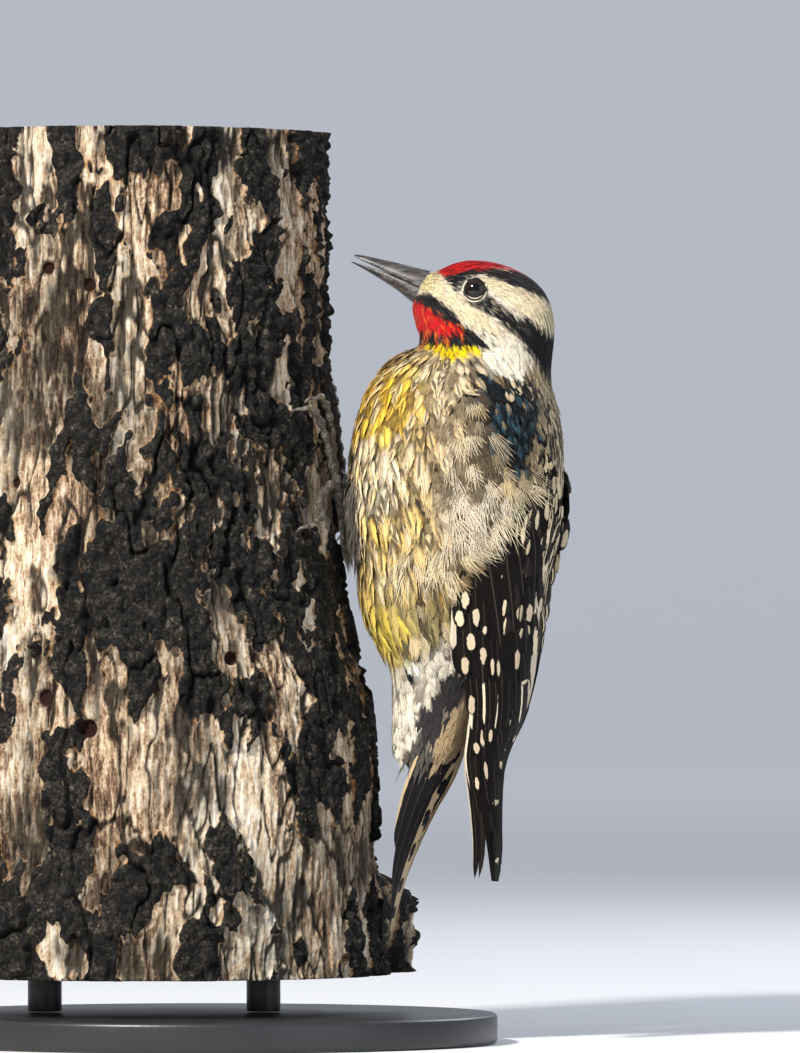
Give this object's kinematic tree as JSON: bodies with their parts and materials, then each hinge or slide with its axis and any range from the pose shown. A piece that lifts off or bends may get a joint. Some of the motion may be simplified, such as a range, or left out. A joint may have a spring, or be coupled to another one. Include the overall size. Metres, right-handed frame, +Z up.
{
  "type": "woodpecker model on a perch",
  "caption": "Life-size woodpecker clinging upright to a cut length of tree trunk, held by a round display stand with two short rods.",
  "frame": {"origin": "centre of the stand's underside, on the floor", "axes": "+Z up; the bird faces -X, towards the trunk, with its left side towards -Y"},
  "size_m": [0.175, 0.156, 0.241],
  "materials": {
    "plumage": "soft feathers",
    "flight_feathers": "smooth feather vanes",
    "bill_horn": "satin horn",
    "eye": "wet gloss",
    "foot_skin": "scaly, dull",
    "bark": "rough bark",
    "stand_paint": "satin black"
  },
  "bodies": {
    "root": {"bill_lower": "bill_horn", "bill_upper": "bill_horn", "body": "plumage", "eye_left": "eye", "eye_right": "eye", "foot_left": "foot_skin", "foot_right": "foot_skin", "head": "plumage", "leg_left": "plumage", "leg_right": "plumage", "neck": "plumage", "perch_log": "bark", "primary_left": "flight_feathers", "primary_right": "flight_feathers", "rump": "plumage", "stand_base": "stand_paint", "stand_rod_front": "stand_paint", "stand_rod_rear": "stand_paint", "tail": "flight_feathers", "wing_left": "flight_feathers", "wing_right": "flight_feathers"}
  },
  "joints": []
}
